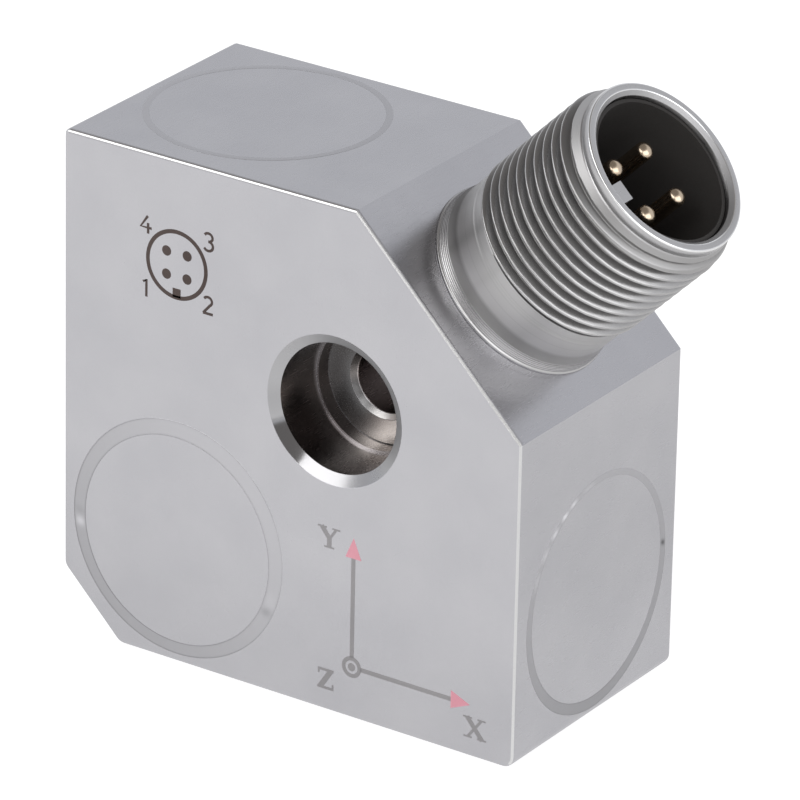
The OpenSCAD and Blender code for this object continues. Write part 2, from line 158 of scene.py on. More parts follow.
def grained_finish(name, dark, light, metallic, gloss, grain, depth, stretch=(1, 1, 1)):
    """A finish with a fine grain whose shade drifts slowly from dark to light."""
    finish, shader = start_finish(name, light, metallic, gloss[0])
    drift = spread(finish, noise(finish, shade_drift), 0, 1)
    shade = blend_colours(finish, drift, dark, light)
    finish.node_tree.links.new(shade, shader.inputs["Base Color"])
    add_grain(finish, gloss, grain, depth, stretch)
    return finish


def dress(names, finish):
    """Gives CAD nodes a finish."""
    for name in names:
        cad[name].data.materials.clear()
        cad[name].data.materials.append(finish)


def compute(finish, operation, *values):
    """One step of arithmetic on numbers or outputs."""
    node = finish.node_tree.nodes.new("ShaderNodeMath")
    node.operation = operation
    for socket, value in zip(node.inputs, values):
        feed(finish, socket, value)
    return node.outputs[0]


def product(finish, first, *others):
    """The product of numbers or outputs. For shares of 0 or 1 it is 1 only where all of them are."""
    total = first
    for other in others:
        total = compute(finish, "MULTIPLY", total, other)
    return total


def fade(finish, value, start, end, low, high):
    """A smooth step from low to high as the value goes from start to end."""
    step = add_node(finish, "ShaderNodeMapRange", From_Min=start, From_Max=end, To_Min=low, To_Max=high)
    step.interpolation_type = "SMOOTHSTEP"
    finish.node_tree.links.new(value, step.inputs["Value"])
    return step.outputs["Result"]


def paint_light_on_hole_and_edges(finish):
    """Paints light and shade on the block by place, where radius is the distance from the bolt hole's
    axis, and facing is (x - z) / radius, which is greatest at the lower right. The counterbore's wall,
    its seat and the bolt hole's bevel carry painted shade, lightened by a painted pool of light at
    the lower right, where light falls in from the upper left, with a painted shadow line in the seat's
    corner there. The bolt hole's wall carries painted shade all round. Tool rings lean the seat's shine
    towards the axis and the bevel's away from it. The mouth's chamfer grows rougher towards the upper
    right. The front rounds at the top and right carry a painted highlight."""
    link = finish.node_tree.links.new
    shader = finish.node_tree.nodes["Principled BSDF"]
    place = add_node(finish, "ShaderNodeTexCoord")
    parts = add_node(finish, "ShaderNodeSeparateXYZ")
    link(place.outputs["Object"], parts.inputs["Vector"])
    x, depth, z = (parts.outputs[axis] for axis in "XYZ")
    from_front = compute(finish, "SUBTRACT", depth, float(block_low[1]))
    square = compute(finish, "ADD", product(finish, x, x), product(finish, z, z))
    radius = compute(finish, "SQRT", square)
    facing = compute(finish, "DIVIDE", compute(finish, "SUBTRACT", x, z), radius)
    to_upper_right = compute(finish, "ADD", x, z)
    lit = fade(finish, facing, *lit_span)

    off_step = compute(finish, "SUBTRACT", 1.0, compute(finish, "COMPARE", depth, step_depth, step_half))
    on_wall = product(
        finish, off_step,
        compute(finish, "COMPARE", radius, wall_middle_r, wall_half),
        compute(finish, "GREATER_THAN", depth, wall_top),
        compute(finish, "LESS_THAN", depth, wall_foot))
    on_seat = product(
        finish,
        compute(finish, "COMPARE", depth, seat_depth, seat_half),
        compute(finish, "LESS_THAN", radius, seat_r))
    on_bevel = product(
        finish,
        compute(finish, "COMPARE", depth, bevel_middle, bevel_half),
        compute(finish, "LESS_THAN", radius, bevel_r))
    in_bolt_hole = product(
        finish,
        compute(finish, "LESS_THAN", radius, bolt_edge_r),
        compute(finish, "GREATER_THAN", depth, bolt_mouth))
    on_chamfer = product(
        finish,
        compute(finish, "COMPARE", from_front, mouth_middle, mouth_half),
        compute(finish, "LESS_THAN", radius, mouth_r))
    highlighted_round = product(
        finish,
        compute(finish, "COMPARE", from_front, highlight_round_middle, highlight_round_half),
        compute(finish, "GREATER_THAN", radius, clear_of_mouth_r),
        compute(finish, "GREATER_THAN", to_upper_right, float(block_low[0] + block_high[0])))

    # Painted light and shade: dark and lit copies of the seat, the counterbore's wall and the bevel,
    # blended by facing, and a painted shadow line in the seat's corner.
    seat = blend_colours(finish, lit, dark_seat_colour, lit_seat_colour)
    corner_shadow = product(finish, lit, compute(finish, "GREATER_THAN", radius, corner_shadow_r))
    seat = blend_colours(finish, corner_shadow, seat, corner_shadow_colour)
    lit_wall = product(finish, lit, fade(finish, depth, *lit_wall_span))
    wall = blend_colours(finish, lit_wall, shaded_bore_colour, lit_bore_colour)
    bevel = blend_colours(finish, lit, dark_bevel_colour, lit_bevel_colour)
    colour = shader.inputs["Base Color"].links[0].from_socket
    for share, colour_there in ((on_seat, seat), (on_wall, wall), (on_bevel, bevel),
                                (in_bolt_hole, shaded_bolt_hole_colour), (on_chamfer, mouth_colour),
                                (highlighted_round, edge_highlight_colour)):
        colour = blend_colours(finish, share, colour, colour_there)
    link(colour, shader.inputs["Base Color"])

    lit_bevel = product(finish, on_bevel, lit)
    chamfer_slope = product(finish, to_upper_right, mouth_gain_slope / mouth_r)
    chamfer_gain = product(finish, on_chamfer, compute(finish, "ADD", chamfer_slope, mouth_gain))
    gain = compute(finish, "ADD", chamfer_gain, product(finish, lit_bevel, bevel_gain))
    rough = shader.inputs["Roughness"].links[0].from_socket
    link(product(finish, rough, compute(finish, "ADD", gain, 1.0)), shader.inputs["Roughness"])

    grain = shader.inputs["Normal"].links[0].from_node
    link(compute(finish, "SUBTRACT", 1.0, on_seat), grain.inputs["Strength"])
    seat_rings = add_node(finish, "ShaderNodeBump", Distance=seat_lean)
    link(compute(finish, "SUBTRACT", 1.0, lit), seat_rings.inputs["Strength"])
    link(product(finish, radius, on_seat), seat_rings.inputs["Height"])
    link(grain.outputs["Normal"], seat_rings.inputs["Normal"])
    bevel_rings = add_node(finish, "ShaderNodeBump", Distance=bevel_lean)
    bevel_rings.invert = True
    link(lit_bevel, bevel_rings.inputs["Strength"])
    link(radius, bevel_rings.inputs["Height"])
    link(seat_rings.outputs["Normal"], bevel_rings.inputs["Normal"])
    link(bevel_rings.outputs["Normal"], shader.inputs["Normal"])


satin_values = dict(dark=satin_dark, light=satin_light, metallic=1.0, gloss=(0.22, 0.28),
                    grain=0.09 * MM, depth=0.15e-6, stretch=(1, 0.06, 1))
satin_steel = grained_finish("satin_steel", **satin_values)
block_steel = grained_finish("block_steel", **satin_values)
paint_light_on_hole_and_edges(block_steel)
dress(["housing_block"], block_steel)


# Sensing elements: in each pocket a ceramic disc, a steel base with its post, a piezo ring and a
# heavy mass glued round it, and a circuit board on a ledge above, with a thin insulated wire.
directions = ("z", "y", "x")
white_ceramic = grained_finish(
    "white_ceramic", dark=(0.74, 0.72, 0.67), light=(0.80, 0.79, 0.75), metallic=0.0,
    gloss=(0.45, 0.6), grain=0.05 * MM, depth=2e-6)
piezo_ceramic = grained_finish(
    "piezo_ceramic", dark=(0.50, 0.42, 0.27), light=(0.58, 0.50, 0.34), metallic=0.0,
    gloss=(0.5, 0.65), grain=0.04 * MM, depth=2e-6)
mass_metal = grained_finish(
    "mass_metal", dark=(0.16, 0.16, 0.17), light=(0.21, 0.21, 0.22), metallic=1.0,
    gloss=(0.3, 0.42), grain=0.06 * MM, depth=2e-6)
circuit_board = grained_finish(
    "circuit_board", dark=(0.012, 0.075, 0.03), light=(0.02, 0.11, 0.045), metallic=0.0,
    gloss=(0.25, 0.4), grain=0.3 * MM, depth=5e-6)
lead_insulation = grained_finish(
    "lead_insulation", dark=(0.68, 0.68, 0.64), light=(0.74, 0.74, 0.71), metallic=0.0,
    gloss=(0.4, 0.5), grain=0.1 * MM, depth=3e-6)
lathe_steel = grained_finish(
    "lathe_steel", dark=(0.47, 0.468, 0.47), light=(0.52, 0.517, 0.52), metallic=1.0,
    gloss=(0.22, 0.3), grain=0.1 * MM, depth=0.6e-6)
dress([f"{way}_insulator" for way in directions], white_ceramic)
dress([f"{way}_element_post" for way in directions], lathe_steel)
dress([f"{way}_piezo_ring" for way in directions], piezo_ceramic)
dress([f"{way}_seismic_mass" for way in directions], mass_metal)
dress([f"{way}_amplifier_board" for way in directions], circuit_board)
dress([f"{way}_lead" for way in directions] + ["ground_link"], lead_insulation)


# Covers: three turned discs of the same steel, dropped into their seats and laser welded all
# round. The weld is a narrow smooth band of its own darker tone with fine dark lines along its
# edges. It also carries painted shade on one side, where the edge lines are darker too.
dress([f"{way}_cover" for way in directions], satin_steel)
weld_crown, weld_edge, weld_root = 0.005 * MM, 0.003 * MM, 0.04 * MM
weld_columns = 720
weld_stations = np.array([0, 0.05, 0.1, 0.16, 0.25, 0.35, 0.5, 0.65, 0.75, 0.84, 0.9, 0.95, 1])
weld_line_w = 0.07
weld_line_even, weld_line_lean = 0.6, 0.4
weld_scale = 0.6
axis_x, axis_y, axis_z = np.eye(3)
cover_middle = {way: np.mean(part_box(f"{way}_cover"), axis=0) for way in directions}
front_middle = np.array([cover_middle["z"][0], block_low[1], cover_middle["z"][2]])
top_middle = np.array([cover_middle["y"][0], cover_middle["y"][1], block_high[2]])
side_middle = np.array([block_high[0], cover_middle["x"][1], cover_middle["x"][2]])


def grid_faces(rows, columns, wrap_rows=True):
    """Quads between neighbours of a grid of points that closes round its columns, and round its
    rows too where wrap_rows says so."""
    row_numbers = np.arange(rows if wrap_rows else rows - 1)
    row, column = np.meshgrid(row_numbers, np.arange(columns), indexing="ij")
    next_row, next_column = (row + 1) % rows, (column + 1) % columns
    corners = [row * columns + column, row * columns + next_column,
               next_row * columns + next_column, next_row * columns + column]
    return np.stack(corners, axis=-1).reshape(-1, 4)


def add_piece(name, points, faces, finish):
    """A smooth mesh piece of the part with its finish, fixed to its one body."""
    mesh = bpy.data.meshes.new(name)
    mesh.from_pydata(points.reshape(-1, 3).tolist(), [], faces)
    mesh.shade_smooth()
    mesh.materials.append(finish)
    piece = bpy.data.objects.new(name, mesh)
    bpy.context.scene.collection.objects.link(piece)
    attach(piece, "root")
    return piece


def set_values(piece, name, values):
    """Gives each point of a piece its own number under a name."""
    layer = piece.data.attributes.new(name, "FLOAT", "POINT")
    layer.data.foreach_set("value", values.astype(np.float32).ravel())


def own_value(finish, name):
    """The number that each point of the piece carries under a name."""
    carried = finish.node_tree.nodes.new("ShaderNodeAttribute")
    carried.attribute_name = name
    return carried.outputs["Fac"]


def weld_finish():
    """Satin steel times the weld's tone with its painted shade and glints, which each point carries scaled
    to stay under 1.
    """
    finish, shader = start_finish("weld_steel", satin_light, 1.0, 0.3)
    brightest = tuple(channel / weld_scale for channel in satin_light)
    shaded = blend_colours(finish, own_value(finish, "weld_shade"), (0, 0, 0), brightest)
    finish.node_tree.links.new(shaded, shader.inputs["Base Color"])
    add_grain(finish, gloss=(0.28, 0.38), grain=0.1 * MM, depth=0.8e-6)
    return finish


def weld_band(name, centre, right, up, outer, inner, shade, swing, painted_shade_at, line, spots):
    """A flat ring between two circles, each (radius, offset right, offset up) in mm, raised by a
    shallow parabola across its width. Its shade is its own tone less painted shade that follows a
    cosine of the angle round it, less a dark line along both edges that is partly the seam and partly
    painted shade deepest on the shaded side, and changed by spots of (angle, half width, amount)."""
    angle = np.linspace(0, 2 * np.pi, weld_columns, endpoint=False)
    across = weld_stations[:, None]
    spoke = np.cos(angle)[:, None] * right + np.sin(angle)[:, None] * up
    edges = [centre + (radius * spoke + shift_right * right + shift_up * up) * MM
             for radius, shift_right, shift_up in (outer, inner)]
    flat = edges[0] * (1 - across[..., None]) + edges[1] * across[..., None]
    height = weld_edge + weld_crown * 4 * across * (1 - across)
    normal = np.cross(right, up)
    top = flat + height[..., None] * normal
    points = np.concatenate([flat[:1] - weld_root * normal, top, flat[-1:] - weld_root * normal])
    lean = np.cos(angle - np.radians(painted_shade_at))
    edge_line = np.exp(-((0.5 - np.abs(across - 0.5)) / weld_line_w) ** 2)
    tone = shade - swing * lean - line * edge_line * (weld_line_even + weld_line_lean * lean)
    for spot_at, half_width, amount in spots:
        turn = np.angle(np.exp(1j * (angle - np.radians(spot_at))))
        tone = tone + amount * np.exp(-(turn / np.radians(half_width)) ** 2) * np.sin(np.pi * across)
    tone = np.concatenate([tone[:1], tone, tone[-1:]])
    faces = grid_faces(len(points), weld_columns).tolist()
    piece = add_piece(name, points, faces, weld_steel)
    set_values(piece, "weld_shade", weld_scale * tone)


weld_steel = weld_finish()
# The z weld's spots are its start and stop marks.
weld_band("z_weld", front_middle, axis_x, axis_z, outer=(9.85, 0.14, -0.16), inner=(8.65, 0.04, -0.33),
          shade=0.9, swing=0.1, painted_shade_at=225, line=0.36,
          spots=[(186, 2.5, 0.35), (180, 2, -0.08), (336, 2.5, -0.2), (342, 5, 0.08)])
weld_band("y_weld", top_middle, axis_x, axis_y, outer=(9.6, -0.1, 0), inner=(9.05, -0.1, 0),
          shade=0.93, swing=0.035, painted_shade_at=0, line=0.08, spots=[])
# The x weld's bright spots from 100 to 155 degrees are painted glints; the dark spot at 3 degrees is a
# mark.
weld_band("x_weld", side_middle, axis_y, axis_z, outer=(9.72, 0, -0.1), inner=(9.0, 0, 0.12),
          shade=0.79, swing=0.11, painted_shade_at=270, line=0.14,
          spots=[(3, 1.5, -0.55), (100, 5, 0.15), (113, 3, 0.5), (121, 2.5, 0.7), (131, 3, 0.5),
                 (142, 4, 0.3), (155, 5, 0.2)])


# Insert: a black moulding that lines the socket and holds the contacts. The four contacts are
# turned brass pins with short rounded tips, gold plated all over.
insert_black = grained_finish(
    "insert_black", dark=(0.038, 0.0355, 0.034), light=(0.046, 0.043, 0.041), metallic=0.0,
    gloss=(0.6, 0.7), grain=0.2 * MM, depth=2e-6)
insert_black.node_tree.nodes["Principled BSDF"].inputs["Specular IOR Level"].default_value = 0.3
dress(["connector_insert"], insert_black)
gold_plate = grained_finish(
    "gold_plate", dark=(0.62, 0.50, 0.375), light=(0.70, 0.575, 0.44), metallic=1.0,
    gloss=(0.2, 0.27), grain=0.15 * MM, depth=0.3e-6)
thread_mount = mounts["connector_thread"]
thread_mount_height = 10.617 * MM
socket_axis = np.array(thread_mount["axis"]) / np.linalg.norm(thread_mount["axis"])
socket_base = np.array(thread_mount["pos_m"]) - thread_mount_height * socket_axis
socket_side = np.cross(axis_y, socket_axis)
key_turn = np.radians(-90)
contact_circle = 2.935 * MM
contact_r, tail_r, tail_tip_r = 0.74 * MM, 0.45 * MM, 0.405 * MM
tail_end, tail_top = -3.2 * MM, -1.0 * MM
tip_start, tip_end = 14.98 * MM, 15.5 * MM
contact_columns, tip_rows = 48, 18
tip_turn = np.linspace(0, np.radians(89), tip_rows)
tip_heights = tip_start + (tip_end - tip_start) * np.sin(tip_turn)
contact_heights = np.array([tail_end, tail_end, tail_top, tail_top, *tip_heights])
contact_radii = np.array([tail_tip_r, tail_r, tail_r, contact_r, *(contact_r * np.cos(tip_turn))])
top_row = (len(contact_heights) - 1) * contact_columns
contact_faces = [*grid_faces(len(contact_heights), contact_columns, wrap_rows=False).tolist(),
                 list(range(contact_columns - 1, -1, -1)),
                 list(range(top_row, top_row + contact_columns))]


def turned_points(heights, radii, columns, centre=(0, 0)):
    """Points of a turned surface on the socket's axis: base + height * axis + radius * (cos * side
    + sin * across), with heights and radii given by row, or by row and column, round a centre."""
    angle = np.linspace(0, 2 * np.pi, columns, endpoint=False)
    heights = np.broadcast_to(np.reshape(heights, (len(heights), -1)), (len(heights), columns))
    radii = np.broadcast_to(np.reshape(radii, (len(radii), -1)), (len(radii), columns))
    sideways = centre[0] + radii * np.cos(angle)
    across = centre[1] + radii * np.sin(angle)
    return (socket_base + heights[..., None] * socket_axis
            + sideways[..., None] * socket_side + across[..., None] * axis_y)


for number in range(1, 5):
    contact_turn = key_turn + np.radians(90 * number - 45)
    contact_place = contact_circle * np.array([np.cos(contact_turn), np.sin(contact_turn)])
    contact_points = turned_points(contact_heights, contact_radii, contact_columns, contact_place)
    contact = add_piece(f"contact_{number}", contact_points, contact_faces, gold_plate)
    contact.data.set_sharp_from_angle(angle=np.radians(50))
    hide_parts(f"contact_pin_{number}")


# Connector shell: turned from stainless bar with a weld foot, a plain neck, a cut right-hand
# thread, a lead-in cone and a nose ring with a bevelled mouth, all in mm above the slanted face.
# The polarising key stands inside the mouth.
shell_columns, foot_rows, neck_rows, rows_a_turn, round_rows = 240, 40, 72, 24, 8
row_gap = 0.02
foot_r, foot_top = 8.1, 1.1
foot_heights, foot_radii = (0, 0.05, 0.18, 0.28, foot_top), (foot_r - 0.05, foot_r, foot_r, 7.99, 7.86)
rib_depth, rib_pitch, rib_start = 0.014, 0.17, 0.3
neck_r, neck_step, neck_line, neck_end = 7.7, 0.02, 4.2, 5.25
fillet_w, fillet_top = 0.16, 2.3
crest_r, root_r, pitch = 7.9375, 7.29, 1.058
crest_flat, root_flat, crest_trim = 0.06, 0.13, 0.007
first_crest, first_crest_at = 5.6, np.radians(270)
wear_waves, worn_share = ((0.004, 19, 3), (0.003, 43, -5)), 0.2
lead_in, nose_start, rim = 15.05, 16.5, 17.4
nose_r, nose_step_r, socket_r = 7.2, 7.13, 6.15
rim_outer, rim_inner, rim_round = 7.02, 6.52, 0.13
mouth_depth, mouth_foot_r, mouth_taper = 0.32, 6.23, 1.0
spigot_r, lip_r, spigot_end, lip_top = 6.6, 5.2, -2.0, -1.0
# Painted shade on the outside: in the thread's roots, in the band above the foot and on the foot's top,
# most of all on one side.
groove_shade, groove_shade_side = 0.38, 0.27
shade_side_even, shade_side_lean, shaded_side_at, band_shade_dark = 0.62, 0.38, np.radians(215), 0.5
band_shade_low, band_shade_rise, band_shade_high, band_shade_fall = 1.05, 0.12, 2.3, 0.35
foot_shade_low, foot_shade_r, foot_shade_dark = 0.22, 7.9, 0.25
# Painted dark reflections: streaks along the neck at these angles, each (angle, width, depth).
neck_dark_reflections = ((206, 6, 0.08), (234, 5, 0.2), (262, 3, 0.06), (300, 9, 0.12))
tool_lines, tool_line_w, tool_line_dark = (3.1, 3.95, 4.2, 4.45), 0.035, 0.1
# Painted shade dims the lead-in cone and, inside the mouth, the socket's wall.
lead_in_shade, socket_shade = 0.16, 0.35
thread_gloss, neck_gloss, nose_gloss, key_gloss = 0.27, 0.48, 0.42, 0.3
nose_gloss_start = 15.35
shade_and_mark_colour = (0.02, 0.016, 0.013)


def lead_in_cone(height):
    """The thread's outer limit, which falls evenly from the crests to the nose ring."""
    return crest_r - (crest_r - nose_r) * np.clip((height - lead_in) / (nose_start - lead_in), 0, 1)


def outer_radius(height, angle):
    """Outside of the shell: a ribbed foot cone, a neck, then a thread whose radius falls from crest
    to root with the distance to the nearest crest, |frac(height / pitch - turn + 1/2) - 1/2|
    pitches, kept under a lead-in cone that runs out at the nose ring."""
    foot = np.interp(height, foot_heights, foot_radii)
    ribs = rib_depth * np.sin(2 * np.pi * height / rib_pitch) * ((height > rib_start) & (height < foot_top))
    fillet = fillet_w * np.clip((fillet_top - height) / (fillet_top - foot_top), 0, 1) ** 2
    neck = neck_r + fillet - neck_step * (height > neck_line)
    turn = (height - first_crest) / pitch - (angle - first_crest_at) / (2 * np.pi)
    away = np.abs((turn + 0.5) % 1 - 0.5)
    flank = np.clip((away - crest_flat) / (0.5 - crest_flat - root_flat), 0, 1)
    wear = sum(depth * np.sin(waves * angle + climb * height) for depth, waves, climb in wear_waves)
    thread = crest_r - crest_trim + wear * (flank < worn_share) - (crest_r - root_r) * flank
    thread = np.minimum(thread, lead_in_cone(height))
    return np.where(height < foot_top, foot + ribs, np.where(height < neck_end, neck, thread))


def outer_shade(height, angle, radius):
    """How the outside is shaded: painted shade towards the thread's roots and in the band above the
    foot, most of all on one side, and on the top of the foot; painted dark reflections as streaks along
    the neck's axis and painted shade over the lead-in cone. The neck also has lines left by the tool."""
    groove = np.clip((lead_in_cone(height) - radius) / (crest_r - root_r), 0, 1) * (height > neck_end)
    side = shade_side_even + shade_side_lean * np.cos(angle - shaded_side_at)
    band_shade = (side * np.clip((height - band_shade_low) / band_shade_rise, 0, 1)
            * np.clip((band_shade_high - height) / band_shade_fall, 0, 1))
    foot_shade = (height > foot_shade_low) & (height < foot_top) & (radius < foot_shade_r)
    on_neck = (height > foot_top) & (height < neck_end)
    dark_streak = sum(depth * np.exp(-((np.degrees(angle) - place) / width) ** 2)
                for place, width, depth in neck_dark_reflections)
    tool_line = sum(np.exp(-((height - place) / tool_line_w) ** 2) for place in tool_lines)
    streaks_lines_and_shade = 1 - on_neck * (dark_streak + tool_line_dark * tool_line) - lead_in_shade * (height > lead_in)
    grooved = 1 - (groove_shade + groove_shade_side * side) * np.sqrt(groove)
    return grooved * (1 - band_shade_dark * band_shade) * (1 - foot_shade_dark * foot_shade) * streaks_lines_and_shade


def darken_by_point(finish):
    """Darkens a finish where the shade that each point carries, mostly painted shade and a few tool lines,
    is under 1.
    """
    shader = finish.node_tree.nodes["Principled BSDF"]
    clean_colour = shader.inputs["Base Color"].links[0].from_socket
    shaded = blend_colours(finish, own_value(finish, "shade"), shade_and_mark_colour, clean_colour)
    finish.node_tree.links.new(shaded, shader.inputs["Base Color"])


angle = np.linspace(0, 2 * np.pi, shell_columns, endpoint=False)[None, :]
outside = np.concatenate([np.linspace(0, foot_top, foot_rows),
                          np.linspace(foot_top + row_gap, neck_end, neck_rows),
                          np.arange(neck_end + row_gap, nose_start, pitch / rows_a_turn)])[:, None]
rim_turn = np.linspace(0, np.pi / 2, round_rows)
nose_step = [[nose_start + row_gap, nose_step_r], [nose_start + 0.06, nose_step_r],
             [nose_start + 0.09, nose_r]]
outer_round = np.stack([rim - rim_round * (1 - np.sin(rim_turn)),
                        rim_outer + rim_round * np.cos(rim_turn)], axis=1)
mouth_edge = [[rim, rim_inner + 0.08], [rim - 0.012, rim_inner + 0.035], [rim - 0.04, rim_inner]]
mouth_cone = [[rim - mouth_depth, mouth_foot_r], [rim - mouth_depth - row_gap, mouth_foot_r - row_gap],
              [rim - mouth_taper, socket_r]]
socket = [[lip_top, socket_r], [lip_top, lip_r], [spigot_end, lip_r], [spigot_end, spigot_r], [0, spigot_r]]
rim_rows = np.concatenate([nose_step, outer_round, mouth_edge, mouth_cone, socket])
heights = np.concatenate([np.broadcast_to(outside, (len(outside), shell_columns)),
                          np.broadcast_to(rim_rows[:, :1], (len(rim_rows), shell_columns))])
radii = np.concatenate([outer_radius(outside, angle),
                        np.broadcast_to(rim_rows[:, 1:], (len(rim_rows), shell_columns))])
# The socket's wall below the mouth's cone gets painted shade.
in_socket = (rim_rows[:, :1] < rim - mouth_depth + row_gap / 2) & (rim_rows[:, 1:] < rim_outer)
rim_shade = np.where(in_socket, socket_shade, 1.0)
shades = np.concatenate([outer_shade(outside, angle, radii[:len(outside)]),
                         np.broadcast_to(rim_shade, (len(rim_rows), shell_columns))])
satin_heights = [foot_top, foot_top + row_gap / 2, neck_end, neck_end + row_gap / 2,
                 lead_in, nose_gloss_start]
satins = np.interp(heights, satin_heights,
                   [thread_gloss, neck_gloss, neck_gloss, thread_gloss, thread_gloss, nose_gloss])
shell_points = turned_points(heights * MM, radii * MM, shell_columns).reshape(-1, 3)
shell_faces = grid_faces(len(heights), shell_columns)

key_w, key_in, key_out, key_low, key_high = 1.6, 5.05, 6.4, 6.7, 17.15
key_outward = np.cos(key_turn) * socket_side + np.sin(key_turn) * axis_y
key_sideways = np.cos(key_turn) * axis_y - np.sin(key_turn) * socket_side
key_corners = np.array([[outward, side * key_w / 2, height] for height in (key_low, key_high)
                        for outward, side in ((key_in, -1), (key_out, -1), (key_out, 1), (key_in, 1))]) * MM
key_points = socket_base + key_corners @ np.stack([key_outward, key_sideways, socket_axis])
key_faces = np.array([[0, 3, 2, 1], [4, 5, 6, 7], [0, 1, 5, 4], [1, 2, 6, 5], [2, 3, 7, 6], [3, 0, 4, 7]])

turned_steel = grained_finish(
    "turned_steel", dark=(0.52, 0.515, 0.515), light=(0.56, 0.555, 0.555), metallic=1.0,
    gloss=(0.3, 0.38), grain=0.14 * MM, depth=0.5e-6)
darken_by_point(turned_steel)
turned_shader = turned_steel.node_tree.nodes["Principled BSDF"]
turned_steel.node_tree.links.new(own_value(turned_steel, "satin"), turned_shader.inputs["Roughness"])
turned_shader.inputs["Anisotropic"].default_value = 0.65
lathe_way = turned_steel.node_tree.nodes.new("ShaderNodeTangent")
lathe_way.direction_type = "UV_MAP"
lathe_way.uv_map = "round_the_axis"
turned_steel.node_tree.links.new(lathe_way.outputs["Tangent"], turned_shader.inputs["Tangent"])
nose_steel = grained_finish(
    "nose_steel", dark=(0.52, 0.516, 0.52), light=(0.57, 0.566, 0.572), metallic=1.0,
    gloss=(0.27, 0.34), grain=0.12 * MM, depth=0.4e-6)
darken_by_point(nose_steel)
# The rim's outer round and the mouth's edge are polished, and their near-white colour is a painted
# highlight.
polished_edge_with_highlight = grained_finish(
    "polished_edge_with_highlight", dark=(0.9, 0.9, 0.9), light=(0.97, 0.97, 0.97), metallic=1.0,
    gloss=(0.16, 0.22), grain=0.12 * MM, depth=0.4e-6)
mouth_steel = grained_finish(
    "mouth_steel", dark=(0.42, 0.418, 0.422), light=(0.48, 0.477, 0.482), metallic=1.0,
    gloss=(0.48, 0.58), grain=0.12 * MM, depth=0.4e-6)

all_faces = np.concatenate([shell_faces, key_faces + len(shell_points)])
shell = add_piece("threaded_shell", np.concatenate([shell_points, key_points]), all_faces.tolist(),
                  turned_steel)
shell.data.set_sharp_from_angle(angle=np.radians(75))
for name, values, key_value in (("shade", shades, 1.0), ("satin", satins, key_gloss)):
    set_values(shell, name, np.append(values.ravel(), np.full(len(key_points), key_value)))

on_nose, on_edge, on_cone = 1, 2, 3
for finish in (nose_steel, polished_edge_with_highlight, mouth_steel):
    shell.data.materials.append(finish)
nose_rows = np.arange(len(heights)) - len(outside)
first_round_row = len(nose_step)
first_mouth_row = first_round_row + len(outer_round)
cone_row = first_mouth_row + len(mouth_edge) - 1
outer_edge_rows = (nose_rows >= first_round_row) & (nose_rows < first_mouth_row - 1)
mouth_edge_rows = (nose_rows >= first_mouth_row) & (nose_rows < cone_row)
finish_of_row = np.where(nose_rows >= -1, on_nose, 0)
finish_of_row[outer_edge_rows | mouth_edge_rows] = on_edge
finish_of_row[nose_rows == cone_row] = on_cone
finish_of_face = np.append(np.repeat(finish_of_row, shell_columns), np.full(len(key_faces), on_nose))
shell.data.polygons.foreach_set("material_index", finish_of_face.astype(np.int32))

round_map = shell.data.uv_layers.new(name="round_the_axis")
corner_points = np.empty(len(shell.data.loops), np.int32)
shell.data.loops.foreach_get("vertex_index", corner_points)
row, column = corner_points // shell_columns, corner_points % shell_columns
face_start = np.repeat(corner_points[::4], 4) % shell_columns
column = np.where((face_start == shell_columns - 1) & (column == 0), shell_columns, column)
map_points = np.stack([column / shell_columns, row / len(heights)], axis=1)
round_map.data.foreach_set("uv", map_points.astype(np.float32).ravel())
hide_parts("connector_shell")


# Marks: the measuring directions are laser etched on the front face as a grey origin ring, two
# shafts with pink painted heads and serif letters. A brown numbering of the contacts is etched above.
mark_low, mark_high, stroke_lift = -0.01 * MM, 0.005 * MM, 0.001 * MM
dot_rows, dot_start = 20, 0.08
origin_u, origin_v = 27.2, 4.33
origin_ring_r, origin_dot_r, ring_w = 0.72, 0.34, 0.34
shaft_w, shaft_start = 0.38, 0.85
up_shaft_end, up_head_end, up_head_w = 13.48, 15.16, 1.47
right_shaft_end, right_head_end, right_head_w = 36.29, 38.0, 1.51
head_tip_w = 0.03
letter_h = 1.76
y_place, z_place, x_place = (24.95, 14.62), (24.82, 2.65), (38.5, 2.48)
etched_grey = grained_finish(
    "etched_grey", dark=(0.335, 0.325, 0.333), light=(0.385, 0.375, 0.383), metallic=0.7,
    gloss=(0.4, 0.5), grain=0.08 * MM, depth=1e-6)
painted_pink = grained_finish(
    "painted_pink", dark=(0.86, 0.37, 0.45), light=(0.94, 0.44, 0.52), metallic=0.2,
    gloss=(0.35, 0.45), grain=0.1 * MM, depth=1e-6)
etched_brown = grained_finish(
    "etched_brown", dark=(0.075, 0.052, 0.046), light=(0.105, 0.078, 0.070), metallic=0.3,
    gloss=(0.45, 0.55), grain=0.08 * MM, depth=1e-6)


